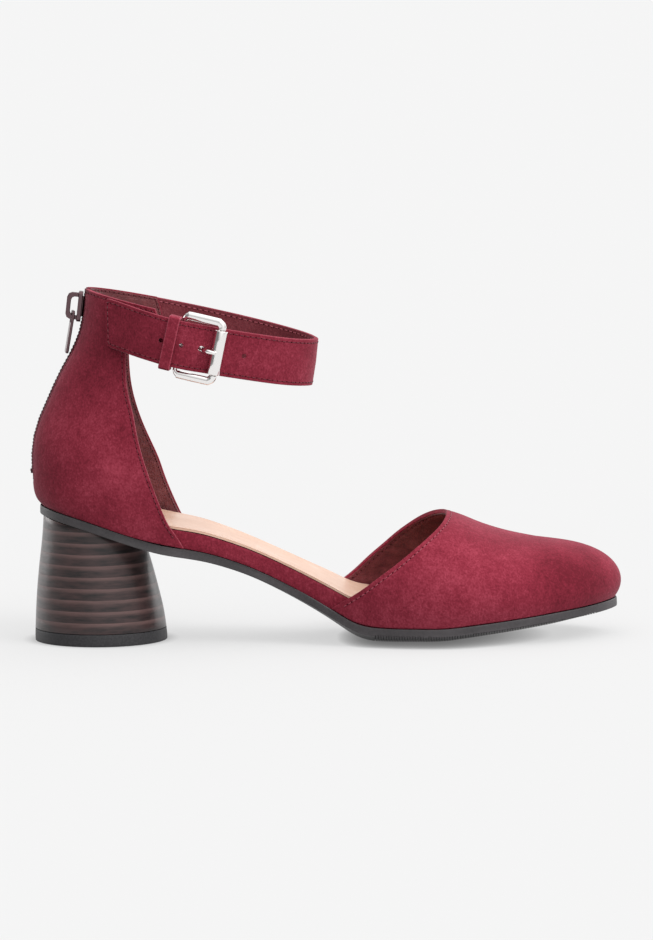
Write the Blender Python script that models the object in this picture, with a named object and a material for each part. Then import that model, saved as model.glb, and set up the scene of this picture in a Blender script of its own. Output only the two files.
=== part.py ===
"""Right shoe: a two-piece pump with a high heel counter, ankle strap, back zip and a stacked cone heel.

Metres, +Z up. The toe points along +X, the outer side of the foot is toward -Y, the floor is z = 0.
"""
import math

import bmesh
import bpy
import numpy as np
from mathutils import Vector

MM = 0.001
OUTER = -1
INNER = 1

# Driving sizes
GAP = 0.3 * MM
WALL = 1.7 * MM
SOLE_THICK = 3.6 * MM
SOLE_WELT = 0.8 * MM
SOLE_WAIST_INSET = 1.6 * MM
BED_INSET = WALL + 0.5 * MM
SOCK_THICK = 1.2 * MM
SOCK_INSET = 0.4 * MM
HEEL_TIP_THICK = 5.0 * MM
SLOT_HALF = 3.5 * MM
STRAP_WIDE = 19.9 * MM
STRAP_THICK = 1.8 * MM
STRAP_DROP = 0.3 * MM
PLAN_STEPS = 30
PLATE_SHARES = (0.25, 0.55, 0.8)
UNDER_SHARES = (0.8, 0.6, 0.38, 0.2)
SPINE = (-95 * MM, 92 * MM)
DIP_POWER = 2.5
SOLE_WAIST = (-58 * MM, 0.0)
WAIST_BLEND = 14 * MM
SOLE_ROUND = (0.4 * MM, 0.6 * MM)
BED_DISH = 1.2 * MM
SOCK_ROUND = (0.3 * MM, 0.4 * MM)
BED_ROUND = MM * np.array([
    # depth below the top, trim of the outline
    (0.9, 0.0),
    (0.25, 0.3),
    (0.0, 1.0),
])

# Finishes: colour, roughness, metal
SUEDE = ((0.2, 0.02, 0.045), 0.9, 0.0)
SOLE_RUBBER = ((0.02, 0.02, 0.022), 0.6, 0.0)
HEEL_STACK = ((0.05, 0.03, 0.025), 0.35, 0.0)
TIP_RUBBER = ((0.015, 0.015, 0.016), 0.7, 0.0)
SOCK_TAN = ((0.72, 0.5, 0.33), 0.5, 0.0)
ZIP_CLOTH = ((0.07, 0.012, 0.02), 0.8, 0.0)
SILVER = ((0.8, 0.8, 0.82), 0.15, 1.0)

# Plan of the upper's lower edge; distances are from the centre line
HEEL_BACK = (-119.9 * MM, 0.0)
TOE_TIP = (121.5 * MM, 6.5 * MM)
PLAN = MM * np.array([
    # x, outer, inner
    (-113, 17.0, 16.8),
    (-102, 24.9, 24.6),
    (-85, 28.5, 28.2),
    (-58, 27.0, 25.2),
    (-22, 24.0, 19.5),
    (8, 32.0, 26.0),
    (32, 40.0, 36.0),
    (52, 41.5, 40.5),
    (74, 36.5, 39.0),
    (94, 28.0, 33.0),
    (109, 17.0, 25.5),
    (117, 6.5, 18.0),
])

# Height of that edge, dip of the sole's middle below it, and thickness of the footbed
BOTTOM = MM * np.array([
    # x, edge, dip, bed
    (-120, 57.6, 0.0, 6.6),
    (-103, 53.4, 0.0, 6.8),
    (-86, 47.9, 0.0, 7.1),
    (-70, 43.0, 0.0, 7.5),
    (-53, 39.7, 0.8, 7.4),
    (-36, 34.4, 1.5, 7.0),
    (-20, 27.3, 2.1, 7.1),
    (-3, 18.4, 2.9, 7.7),
    (6, 13.2, 3.5, 8.3),
    (14, 9.5, 4.6, 8.4),
    (25, 8.4, 5.2, 7.2),
    (45, 8.4, 5.1, 5.5),
    (63, 9.8, 4.5, 4.8),
    (80, 11.4, 3.8, 4.5),
    (97, 13.2, 3.0, 4.3),
    (121.5, 15.4, 1.0, 4.0),
])

# Vamp: height of its ridge (behind the throat the ridge only guides the side walls)
RIDGE = MM * np.array([
    # x, height, y
    (-5, 78, 0),
    (10, 70, 0),
    (20, 63.5, 0),
    (31, 57.5, 0),
    (40, 55, 0),
    (49, 53.4, 0),
    (56, 51.2, 0.4),
    (64.5, 47.6, 1),
    (73, 44.7, 1.6),
    (81, 42.7, 2.1),
    (88, 41.3, 2.5),
])
TOE_POLE = 88 * MM
SIDE_BULGE = 1.04
TOE_BULGE = 1.078
RIDGE_FALL = 0.15
RIB_STEPS = 11
SIDE_RIBS = 10
TOE_RIBS = 14

# Throat edge: place along the shoe by share of the vamp's height
THROAT = np.array([
    # rise, outer, inner
    (0.00, 1.5, -1.0),
    (0.16, 9.3, 7.5),
    (0.33, 18.2, 15.2),
    (0.50, 27.0, 23.3),
    (0.66, 35.0, 30.2),
    (0.78, 41.1, 36.0),
    (0.86, 45.2, 40.0),
    (0.94, 48.8, 45.2),
    (1.00, 50.6, 50.6),
])

# Quarter and ankle ring: each height is a long oval round the ankle
COLLAR_BACK = (-101 * MM, 148.6 * MM)
COLLAR_FALL = 0.222
OVAL = np.array([
    # rise, back, centre, half width, front reach
    (0.000, -119.9, -85.0, 28.5, 80.0),
    (0.015, -121.4, -84.6, 28.9, 79.0),
    (0.040, -122.7, -83.9, 29.4, 77.5),
    (0.080, -123.5, -82.8, 30.1, 75.0),
    (0.125, -123.8, -81.6, 30.5, 73.0),
    (0.220, -123.9, -78.8, 31.0, 68.0),
    (0.300, -122.9, -76.0, 30.8, 64.0),
    (0.380, -120.6, -72.6, 30.3, 60.0),
    (0.460, -117.5, -68.6, 29.8, 56.0),
    (0.540, -114.4, -64.4, 29.4, 53.0),
    (0.620, -111.0, -60.4, 29.2, 51.0),
    (0.700, -107.2, -57.4, 29.3, 49.5),
    (0.755, -104.9, -55.8, 29.5, 47.2),
    (0.806, -103.2, -54.7, 29.7, 46.8),
    (0.870, -101.9, -53.6, 29.9, 46.9),
    (0.935, -101.1, -52.7, 30.0, 46.9),
    (1.000, -100.7, -52.0, 30.0, 46.9),
])
ZIP_RISE = 0.125
EAR_RISE = 0.806
EAR_OUTER_X = -68.5 * MM
EAR_INNER_X = -69 * MM
EAR_CORNER = MM * np.array([0.0, 0.5, 2.4])
EAR_CORNER_RISE = (0.87, 0.935, 1.0)
BODY_COLS = 8
EAR_COLS = 4
FRONT_EDGE = np.array([
    # rise, outer, inner
    (0.00, -60.0, -56.0),
    (0.04, -62.5, -59.5),
    (0.10, -66.6, -62.8),
    (0.19, -70.5, -67.2),
    (0.30, -74.7, -71.2),
    (0.42, -78.5, -77.0),
    (0.53, -80.7, -81.2),
    (0.66, -83.5, -83.5),
    (0.806, -83.8, -84.0),
])

# Heel: each height is an oval; its seat follows the sole
HEEL_SIDES = 40
HEEL_COURSES = (0.2, 0.4, 0.6, 0.8, 1.0)
SEAT_RINGS = (0.65, 0.3)
SEAT_SHARE = 0.9
SEAT_PASSES = 12
TIP_ROUND = 0.5 * MM
TIP_FOOT = 0.985
HEEL = MM * np.array([
    # height, back, front, half width
    (0.0, -123.4, -67.7, 27.8),
    (8.0, -123.3, -68.4, 27.3),
    (15.0, -122.9, -69.7, 26.7),
    (23.0, -122.3, -71.6, 26.0),
    (32.0, -121.4, -73.9, 25.3),
    (40.0, -120.4, -76.3, 24.8),
    (47.0, -119.7, -78.3, 24.5),
    (55.0, -119.2, -80.3, 24.3),
])

# Ankle strap; its outer half sags a little and lifts over the buckle
STRAP_START_X = -92 * MM
STRAP_START_LIFT = 0.45 * MM
STRAP_TIP_X = -90.3 * MM
STRAP_RISE = 0.9
STRAP_ROUND = 0.3 * MM
STRAP_STEPS = {INNER: 21, OUTER: 31}
TAIL_REACH = 4 * MM
TAIL_END = MM * np.array([
    # distance from the tip, trim of the edges
    (1.4, 0.0),
    (0.5, 0.4),
    (0.0, 1.4),
])
TAIL = MM * np.array([
    # x, lift, sag
    (-95, 0.5, 0.0),
    (-90, 0.5, 0.0),
    (-82, 0.9, 0.5),
    (-76, 1.8, 1.0),
    (-71, 2.4, 1.3),
    (-66.7, 3.1, 1.5),
    (-63.8, 3.6, 1.6),
    (-60.6, 4.1, 1.6),
    (-57.6, 3.8, 1.6),
    (-52.5, 2.2, 1.6),
    (-47.5, 0.9, 1.5),
    (-44, 0.5, 1.5),
    (-38, 0.45, 1.3),
    (-30, 0.45, 1.05),
    (-18, 0.45, 0.7),
    (-6, 0.45, 0.0),
])
HOLES_X = (-67.5, -59.5, -43.4, -34.5)
HOLE_R = 1.0 * MM
HOLE_SIDES = 12
CUT_REACH = 4 * MM

# Buckle
PIVOT_X = -60.4 * MM
PIVOT_LIFT = 1.3 * MM
PIVOT_R = 0.9 * MM
BAR_CLEAR = 0.2 * MM
ROLLER_X = -45.4 * MM
ROLLER_LIFT = 5.5 * MM
ROLLER_R = 2.65 * MM
ROLLER_LONG = 18.6 * MM
FRAME_TALL = 25.0 * MM
FRAME_CORNER = 2.6 * MM
FRAME_BAR = (1.75 * MM, 1.25 * MM)
CORNER_STEPS = 5
PRONG_HOOK_R = 0.65 * MM
PRONG_R = 1.0 * MM
PRONG_HOLE_X = -51.2 * MM
PRONG_HOLE = (1.9 * MM, 1.5 * MM)
PRONG_HOOK = range(60, 271, 30)
PRONG_REST = (3.2 * MM, 0.4 * MM)
PRONG_PATH = ((1.8, -1.6), (4.5, -1.0), (7.0, -0.95), (8.9, -0.6), (10.0, 1.0), (11.2, 3.4))

# Tab round the buckle's back bar, and keeper loop; lifts are off the ankle's oval
TAB_WIDE = 17.0 * MM
TAB_THICK = 1.0 * MM
TAB_RETURN = 1.6 * MM
TAB_WRAP = range(100, -91, -38)
TAB_END = 0.06
TAB_SLOT = 3.4 * MM
TAB = MM * np.array([
    # x, outer face, inner face
    (-77, 1.4, 0.4),
    (-73, 1.4, 0.4),
    (-69, 1.6, 0.6),
    (-65.6, 2.1, 1.1),
    (-63.1, 2.75, 1.75),
])
KEEPER_X = -64.0 * MM
KEEPER_WIDE = 4.8 * MM
KEEPER_OUTSIDE = ((-11.4, 0.4), (-11.4, 6.2), (-10.5, 7.2), (-3.5, 7.2))
KEEPER_INSIDE = ((-10.3, 0.4), (-10.3, 5.7), (-9.9, 6.1), (-3.5, 6.1))

# Zip: depths are measured outward from the back line
TAPE_DEPTH = (-0.6 * MM, -1.5 * MM)
CHAIN_HALF = 1.5 * MM
CHAIN_OUT = 0.05 * MM
CHAIN_ROUND = 0.3 * MM
NUB_OUT = 0.6 * MM
ZIP_PLAIN = 0.19
ZIP_TOP = 0.996
ZIP_FOOT = (
    # rise above the slit's foot, height of the chain
    (0.010, NUB_OUT),
    (0.024, NUB_OUT),
    (0.034, CHAIN_OUT),
)
SLIDER_OUTLINE = (
    # across, up, as shares of the half sizes
    (0, 1.06),
    (0.7, 1),
    (1, 0.84),
    (1, 0.1),
    (0.74, -0.84),
    (0.5, -1),
    (0, -1.06),
)
SLIDER_RISE = 0.915
SLIDER_TALL = 12.4 * MM
SLIDER_WIDE = 6.0 * MM
SLIDER_THICK = 1.8 * MM
SLIDER_CLEAR = 0.8 * MM
BRIDGE_WIDE = 2.0 * MM
BRIDGE_THICK = 1.8 * MM
BRIDGE_OUT = 7.4 * MM
BRIDGE_INSET = 0.5 * MM
BRIDGE_BOW = (
    # up, as a share of the bridge's half height; depth below its top
    (1, 2.0 * MM),
    (0.88, 0.6 * MM),
    (0.62, 0.0),
)
PULL_HINGE = (-2.6 * MM, 4.2 * MM)
PULL_WIDE = 5.4 * MM
PULL_THICK = 1.2 * MM
PULL_LEAN = math.radians(10)
PULL_TWIST = math.radians(8)
PULL_FRAME = (
    # outside across, outside down, window across, window down
    (0.7, -0.6, 0.6, 0.5),
    (1, 0.2, 0.71, 0.9),
    (1, 2.6, 0.71, 2.4),
    (1, 9, 0.71, 3.4),
    (1, 16.6, 0.71, 4.1),
    (0.7, 17.6, 0.5, 4.5),
)


def through(xs, ys):
    """A smooth line through the rows of a table, without overshoot between them."""
    xs = np.asarray(xs, float)
    ys = np.asarray(ys, float)
    step = np.diff(xs)
    fall = np.diff(ys) / step
    same = fall[:-1] * fall[1:] > 0
    total = np.where(same, fall[:-1] + fall[1:], 1.0)
    inner = np.where(same, 2 * fall[:-1] * fall[1:] / total, 0.0)
    slope = np.concatenate(([fall[0]], inner, [fall[-1]]))

    def at(x):
        x = min(max(x, xs[0]), xs[-1])
        i = min(int(np.searchsorted(xs, x, side="right")) - 1, len(step) - 1)
        u = (x - xs[i]) / step[i]
        start = ys[i] * (1 + 2 * u) * (1 - u) ** 2 + slope[i] * step[i] * u * (1 - u) ** 2
        end = ys[i + 1] * u * u * (3 - 2 * u) - slope[i + 1] * step[i] * u * u * (1 - u)
        return start + end
    return at


def closed_line(points, per_span=40):
    """Close points on the smooth closed line through the given points."""
    points = np.asarray(points, float)
    n = len(points)
    chord = np.linalg.norm(np.roll(points, -1, axis=0) - points, axis=1)
    before = np.roll(chord, 1)
    rows = np.zeros((n, n))
    right = np.zeros((n, 2))
    for i in range(n):
        rows[i, i - 1] = before[i]
        rows[i, i] = 2 * (before[i] + chord[i])
        rows[i, (i + 1) % n] = chord[i]
        ahead = (points[(i + 1) % n] - points[i]) / chord[i]
        behind = (points[i] - points[i - 1]) / before[i]
        right[i] = 6 * (ahead - behind)
    bend = np.linalg.solve(rows, right)
    dense = []
    for i in range(n):
        j = (i + 1) % n
        for u in np.linspace(0, 1, per_span, endpoint=False):
            a = (1 - u) ** 3 - (1 - u)
            b = u ** 3 - u
            dense.append((1 - u) * points[i] + u * points[j]
                         + chord[i] ** 2 / 6 * (a * bend[i] + b * bend[j]))
    return np.array(dense)


# Shared lines
sole_edge = through(BOTTOM[:, 0], BOTTOM[:, 1])
sole_dip = through(BOTTOM[:, 0], BOTTOM[:, 2])
bed_thick = through(BOTTOM[:, 0], BOTTOM[:, 3])
ridge_z = through(RIDGE[:, 0], RIDGE[:, 1])
ridge_y = through(RIDGE[:, 0], RIDGE[:, 2])
heel_line = [through(HEEL[:, 0], HEEL[:, c]) for c in (1, 2, 3)]
oval_line = [through(OVAL[:, 0], MM * OVAL[:, c]) for c in (1, 2, 3, 4)]
throat_line = {OUTER: through(THROAT[:, 0], MM * THROAT[:, 1]), INNER: through(THROAT[:, 0], MM * THROAT[:, 2])}
front_line = {OUTER: through(FRONT_EDGE[:, 0], MM * FRONT_EDGE[:, 1]),
              INNER: through(FRONT_EDGE[:, 0], MM * FRONT_EDGE[:, 2])}
tail_lift = through(TAIL[:, 0], TAIL[:, 1])
tail_sag = through(TAIL[:, 0], TAIL[:, 2])

plan_points = [HEEL_BACK]
plan_points += [(row[0], -row[1]) for row in PLAN]
plan_points += [TOE_TIP]
plan_points += [(row[0], row[2]) for row in PLAN[::-1]]
plan_dense = closed_line(plan_points)
toe_index = int(np.argmax(plan_dense[:, 0]))
plan_side = {OUTER: plan_dense[:toe_index + 1],
             INNER: np.vstack((plan_dense[:1], plan_dense[:toe_index - 1:-1]))}


def edge_y(x, side):
    """Plan of the upper's lower edge at x on one side."""
    line = plan_side[side]
    return float(np.interp(x, line[:, 0], line[:, 1]))


def along(line, shares):
    """Points at the given shares of a polyline's length."""
    run = np.concatenate(([0], np.cumsum(np.linalg.norm(np.diff(line, axis=0), axis=1))))
    return np.column_stack([np.interp(np.asarray(shares) * run[-1], run, line[:, c]) for c in (0, 1)])


def plan_ring(per_side, inset):
    """Closed plan ring offset from the edge, with the spine point and edge point of each rib."""
    shares = np.linspace(0, 1, per_side + 1)
    ring = np.vstack((along(plan_side[OUTER], shares)[:-1], along(plan_side[INNER], shares)[:0:-1]))
    ahead = np.roll(ring, -1, axis=0) - np.roll(ring, 1, axis=0)
    ahead /= np.linalg.norm(ahead, axis=1)[:, None]
    out = np.column_stack((ahead[:, 1], -ahead[:, 0]))
    inset = np.array([inset(p[0]) for p in ring])
    moved = ring - out * inset[:, None]
    spine_x = np.clip(ring[:, 0], *SPINE)
    spine_y = np.array([(edge_y(x, OUTER) + edge_y(x, INNER)) / 2 for x in spine_x])
    return ring, moved, np.column_stack((spine_x, spine_y))


def sole_top(x, share):
    """Height of the sole's top face; share runs from the middle (0) to the edge (1)."""
    return sole_edge(x) - GAP - sole_dip(x) * (1 - min(share, 1.0) ** DIP_POWER)


def plate_ring(rib, share, height, trim=0.0):
    """One closed ring of a plate at a share of the way from the spine to its outline."""
    edge, outline, spine = rib
    points = []
    for e, o, s in zip(edge, outline, spine):
        arm = o - s
        long = np.linalg.norm(arm)
        p = s + arm * (share * (1 - trim / long))
        across = np.linalg.norm(p - s) / np.linalg.norm(e - s)
        points.append((p[0], p[1], height(p[0], across)))
    return points


def add_piece(name, verts, faces, finish):
    """A named object with its own material; faces are turned outward."""
    colour, rough, metal = finish
    mesh = bpy.data.meshes.new(name)
    mesh.from_pydata([tuple(map(float, v)) for v in verts], [], faces)
    bm = bmesh.new()
    bm.from_mesh(mesh)
    bmesh.ops.remove_doubles(bm, verts=bm.verts, dist=0.00001)
    bmesh.ops.recalc_face_normals(bm, faces=bm.faces)
    bm.to_mesh(mesh)
    bm.free()
    piece = bpy.data.objects.new(name, mesh)
    bpy.context.collection.objects.link(piece)
    material = bpy.data.materials.new(name)
    material.use_nodes = True
    shader = material.node_tree.nodes["Principled BSDF"]
    shader.inputs["Base Color"].default_value = (*colour, 1)
    shader.inputs["Roughness"].default_value = rough
    shader.inputs["Metallic"].default_value = metal
    mesh.materials.append(material)
    return piece


def ring_solid(name, rings, finish, closed=False):
    """A solid lofted through closed rings; open ends are covered by strips across the ring."""
    count = len(rings[0])
    verts = [p for ring in rings for p in ring]
    faces = []
    for r in range(len(rings) if closed else len(rings) - 1):
        a = r * count
        b = (r + 1) % len(rings) * count
        for i in range(count):
            j = (i + 1) % count
            faces.append((a + i, a + j, b + j, b + i))
    for base in () if closed else (0, (len(rings) - 1) * count):
        for i in range(count // 2):
            strip = (i, i + 1, count - i - 1, (count - i) % count)
            faces.append(tuple(base + k for k in dict.fromkeys(strip)))
    return add_piece(name, verts, faces, finish)


def shell(name, grid, keep, finish, wall):
    """A sheet over a grid of points (rows may share points), thickened inward."""
    rows = len(grid)
    cols = len(grid[0])
    verts = [p for row in grid for p in row]
    faces = []
    for r in range(rows - 1):
        for c in range(cols - 1):
            if keep(r, c):
                faces.append((r * cols + c, r * cols + c + 1, (r + 1) * cols + c + 1, (r + 1) * cols + c))
    piece = add_piece(name, verts, faces, finish)
    bm = bmesh.new()
    bm.from_mesh(piece.data)
    bmesh.ops.delete(bm, geom=[v for v in bm.verts if not v.link_faces], context="VERTS")
    middle = sum((v.co for v in bm.verts), Vector()) / len(bm.verts)
    outward = sum(f.normal.dot(f.calc_center_median() - middle) * f.calc_area() for f in bm.faces)
    if outward < 0:
        bmesh.ops.reverse_faces(bm, faces=bm.faces)
    bm.to_mesh(piece.data)
    bm.free()
    solidify = piece.modifiers.new("wall", "SOLIDIFY")
    solidify.thickness = wall
    solidify.offset = -1
    solidify.use_even_offset = True
    solidify.use_quality_normals = True
    return piece


def cut(piece, cutters):
    """Take the cutters out of a piece."""
    for cutter in cutters:
        cutter.hide_render = True
        cutter.display_type = "WIRE"
        boolean = piece.modifiers.new("cut", "BOOLEAN")
        boolean.operation = "DIFFERENCE"
        boolean.solver = "EXACT"
        boolean.object = cutter


# Start from an empty scene
for old in list(bpy.data.objects):
    bpy.data.objects.remove(old)

# Outsole
def sole_inset(x):
    """How far the sole's edge lies inside the upper's: a welt outside it, but inside it along the waist."""
    back = min(max((x - SOLE_WAIST[0]) / WAIST_BLEND, 0), 1)
    front = min(max((SOLE_WAIST[1] - x) / WAIST_BLEND, 0), 1)
    return SOLE_WAIST_INSET * back * front - SOLE_WELT


def sole_under(x, share):
    """Height of the sole's underside, flat where it meets the floor."""
    return max(sole_top(x, share) - SOLE_THICK, 0.0)


sole_rib = plan_ring(PLAN_STEPS, sole_inset)
rings = [plate_ring(sole_rib, s, sole_top) for s in PLATE_SHARES]
top_round, low_round = SOLE_ROUND
rings.append(plate_ring(sole_rib, 1, sole_top, top_round))
rings.append(plate_ring(sole_rib, 1, lambda x, s: sole_top(x, s) - top_round))
rings.append(plate_ring(sole_rib, 1, lambda x, s: sole_under(x, s) + low_round))
rings.append(plate_ring(sole_rib, 1, sole_under, low_round))
rings += [plate_ring(sole_rib, s, sole_under) for s in UNDER_SHARES]
ring_solid("outsole", rings, SOLE_RUBBER)

# Heel block and its top piece
def heel_ring(height_at):
    """Closed ring round the heel; its height may change with the angle."""
    points = []
    for k in range(HEEL_SIDES):
        angle = 2 * math.pi * k / HEEL_SIDES
        z = height_at(angle)
        back, front, half = (line(z) for line in heel_line)
        middle = (back + front) / 2
        points.append((middle - (front - back) / 2 * math.cos(angle), -half * math.sin(angle), z))
    return points


def heel_seat(angle):
    """Height at which the heel's side meets the sole."""
    z = HEEL[-1, 0]
    for _ in range(SEAT_PASSES):
        back, front, half = (line(z) for line in heel_line)
        x = (back + front) / 2 - (front - back) / 2 * math.cos(angle)
        z = (z + sole_under(x, SEAT_SHARE) - GAP) / 2
    return z


def inner_ring(ring, share, height_at):
    """A ring drawn in toward its middle."""
    middle = np.mean(np.array(ring), axis=0)
    moved = [middle + (np.array(p) - middle) * share for p in ring]
    return [(p[0], p[1], height_at(p[0])) for p in moved]


block_low = HEEL_TIP_THICK + GAP
rings = [heel_ring(lambda a: block_low)]
for share in HEEL_COURSES:
    rings.append(heel_ring(lambda a: block_low + share * (heel_seat(a) - block_low)))
rings += [inner_ring(rings[-1], s, lambda x: sole_under(x, SEAT_SHARE) - GAP) for s in SEAT_RINGS]
ring_solid("heel_block", rings, HEEL_STACK)

tip_top = heel_ring(lambda a: HEEL_TIP_THICK)
tip_low = heel_ring(lambda a: TIP_ROUND)
tip_foot = inner_ring(tip_low, TIP_FOOT, lambda x: 0.0)
ring_solid("heel_tip", [tip_top, tip_low, tip_foot], TIP_RUBBER)

# Footbed and its sock
def bed_low(x, share):
    """Height of the footbed's underside."""
    return sole_top(x, share) + GAP


def bed_top(x, share):
    """Height of the footbed's top, dished toward its middle."""
    return sole_edge(x) + bed_thick(x) - BED_DISH * (1 - min(share, 1.0) ** 3)


bed_rib = plan_ring(PLAN_STEPS, lambda x: BED_INSET)
rings = [plate_ring(bed_rib, s, bed_low) for s in PLATE_SHARES]
rings.append(plate_ring(bed_rib, 1, bed_low))
rings += [plate_ring(bed_rib, 1, lambda x, s: bed_top(x, s) - depth, trim) for depth, trim in BED_ROUND]
rings += [plate_ring(bed_rib, s, bed_top) for s in PLATE_SHARES[::-1]]
ring_solid("footbed", rings, SUEDE)


def sock_low(x, share):
    """Height of the sock's underside."""
    return bed_top(x, share) + GAP


def sock_top(x, share):
    """Height of the sock's top."""
    return sock_low(x, share) + SOCK_THICK


sock_rib = plan_ring(PLAN_STEPS, lambda x: BED_INSET + SOCK_INSET)
rings = [plate_ring(sock_rib, s, sock_low) for s in PLATE_SHARES]
rings.append(plate_ring(sock_rib, 1, sock_low))
rings.append(plate_ring(sock_rib, 1, lambda x, s: sock_top(x, s) - SOCK_ROUND[0]))
rings.append(plate_ring(sock_rib, 1, sock_top, SOCK_ROUND[1]))
rings += [plate_ring(sock_rib, s, sock_top) for s in PLATE_SHARES[::-1]]
ring_solid("insole", rings, SOCK_TAN)

# Vamp: ribs run from the sole's edge to the ridge, and fan round the toe
def rib_arc(bulge, steps):
    """Reach and rise along an arc that leans out past its foot."""
    lean = math.sqrt(1 - 1 / bulge ** 2)
    waist = lean / (1 + lean)
    low = -math.asin(lean)
    angles = [low + (math.pi / 2 - low) * k / steps for k in range(steps + 1)]
    return [(bulge * math.cos(a), waist + (1 - waist) * math.sin(a)) for a in angles]


def side_rib(side, share, steps):
    """A rib of the side wall, between the throat's edge (0) and the toe's pole (1)."""
    rib = []
    for reach, rise in rib_arc(SIDE_BULGE, steps):
        x = (1 - share) * throat_line[side](rise) + share * TOE_POLE
        middle = ridge_y(x)
        y = middle + (edge_y(x, side) - middle) * reach
        rib.append((x, y, sole_edge(x) + (ridge_z(x) - sole_edge(x)) * rise))
    return rib


def toe_rib(foot, steps):
    """A rib from a point on the toe's edge up to the pole."""
    pole = np.array((TOE_POLE, ridge_y(TOE_POLE)))
    arm = np.asarray(foot) - pole
    ahead = max(arm[0] / np.linalg.norm(arm), 0.0)
    bulge = SIDE_BULGE + (TOE_BULGE - SIDE_BULGE) * ahead ** 2
    top = ridge_z(TOE_POLE)
    rib = []
    for reach, rise in rib_arc(bulge, steps):
        p = pole + arm * reach
        low = sole_edge(foot[0])
        fall = RIDGE_FALL * ahead * np.linalg.norm(arm) * reach * max(1 - reach, 0) ** 2
        rib.append((p[0], p[1], low + (top - low) * rise - fall))
    return rib


toe_line = np.vstack((plan_side[OUTER], plan_side[INNER][::-1]))
start = int(np.searchsorted(plan_side[OUTER][:, 0], TOE_POLE))
stop = len(plan_side[OUTER]) + int(np.argmax(plan_side[INNER][::-1][:, 0] < TOE_POLE))
first = np.array([[TOE_POLE, edge_y(TOE_POLE, OUTER)]])
last = np.array([[TOE_POLE, edge_y(TOE_POLE, INNER)]])
toe_line = np.vstack((first, toe_line[start:stop], last))
ribs = [side_rib(OUTER, k / SIDE_RIBS, RIB_STEPS) for k in range(SIDE_RIBS + 1)]
toe_feet = along(toe_line, [k / TOE_RIBS for k in range(1, TOE_RIBS)])
ribs += [toe_rib(foot, RIB_STEPS) for foot in toe_feet]
ribs += [side_rib(INNER, k / SIDE_RIBS, RIB_STEPS) for k in range(SIDE_RIBS, -1, -1)]
shell("vamp", ribs, lambda r, c: True, SUEDE, WALL)

# Quarter: rows climb the heel; columns run from the outer ear round the back to the inner ear
def collar_z(x):
    """Height of the collar's edge, which falls toward the front."""
    return COLLAR_BACK[1] - COLLAR_FALL * (x - COLLAR_BACK[0])


def ankle_angle(x, rise):
    """Angle on the ankle's oval at a place along the shoe."""
    back, centre, half, reach = (line(rise) for line in oval_line)
    arm = centre - back if x < centre else reach
    return math.acos(min(max((centre - x) / arm, -1), 1))


def ankle(angle, rise, side, lift=0.0):
    """Point on the ankle's oval; the angle opens from the back round to the front."""
    back, centre, half, reach = (line(rise) for line in oval_line)
    arm = centre - back if angle < math.pi / 2 else reach
    x = centre - arm * math.cos(angle)
    y = half * math.sin(angle)
    out = np.array((-math.cos(angle) / arm, math.sin(angle) / half))
    out /= np.linalg.norm(out)
    x += lift * out[0]
    y += lift * out[1]
    return np.array((x, side * y, sole_edge(x) + rise * (collar_z(x) - sole_edge(x))))


ear_end = {OUTER: EAR_OUTER_X, INNER: EAR_INNER_X}
rises = [row[0] for row in OVAL]
ear_row = rises.index(EAR_RISE)
zip_row = rises.index(ZIP_RISE)


def quarter_half(rise, side):
    """Columns of one side at one height, from the zip to the ear."""
    slot = math.asin(SLOT_HALF / oval_line[2](rise))
    front = ankle_angle(front_line[side](min(rise, EAR_RISE)), rise)
    angles = [slot + (front - slot) * k / BODY_COLS for k in range(BODY_COLS + 1)]
    corner = np.interp(rise, EAR_CORNER_RISE, EAR_CORNER)
    tip = ankle_angle(ear_end[side] - corner, rise)
    angles += [front + (tip - front) * k / EAR_COLS for k in range(1, EAR_COLS + 1)]
    return [ankle(a, rise, side) for a in angles]


grid = [quarter_half(t, OUTER)[::-1] + quarter_half(t, INNER) for t in rises]
zip_col = BODY_COLS + EAR_COLS


def quarter_face(r, c):
    """Keeps the body and the ears, and leaves the zip's slit open."""
    if c == zip_col:
        return r < zip_row
    return r >= ear_row or EAR_COLS <= c < 2 * zip_col + 1 - EAR_COLS


shell("quarter", grid, quarter_face, SUEDE, WALL)

# Ankle strap: from the inner ear round the front of the ankle to its tail over the outer ear
STRAP_TALL = STRAP_WIDE * math.hypot(1, COLLAR_FALL)


def strap_point(angle, side, drop, lift):
    """Point at a drop below the collar line and a lift off the ankle's oval."""
    x = ankle(angle, STRAP_RISE, side)[0]
    if side == OUTER:
        drop += tail_sag(x)
    return ankle(angle, 1 - drop / (collar_z(x) - sole_edge(x)), side, lift)


def tail_point(x, drop, lift=0.0):
    """The same on the outer side, straight above or below one place along the shoe."""
    rise = 1 - (drop + tail_sag(x)) / (collar_z(x) - sole_edge(x))
    return ankle(ankle_angle(x, rise), rise, OUTER, lift)


def strap_ring(point, lift, trim=0.0):
    """Section of the strap; point gives a place on it from a drop and a lift."""
    top = STRAP_DROP + trim
    low = STRAP_DROP + STRAP_TALL - trim
    face = [low - STRAP_ROUND, (top + low) / 2, top + STRAP_ROUND]
    ring = [point(low, lift + STRAP_THICK / 2)]
    ring += [point(d, lift) for d in face]
    ring += [point(top, lift + STRAP_THICK / 2)]
    ring += [point(d, lift + STRAP_THICK) for d in face[::-1]]
    return ring


def round_ring(angle, side):
    """Section of the strap where it runs round the ankle."""
    lift = STRAP_START_LIFT if side == INNER else tail_lift(ankle(angle, STRAP_RISE, side)[0])
    return strap_ring(lambda drop, out: strap_point(angle, side, drop, out), lift)


def tip_ring(x, trim):
    """Section of the strap at its rounded end."""
    return strap_ring(lambda drop, out: tail_point(x, drop, out), tail_lift(x), trim)


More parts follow.
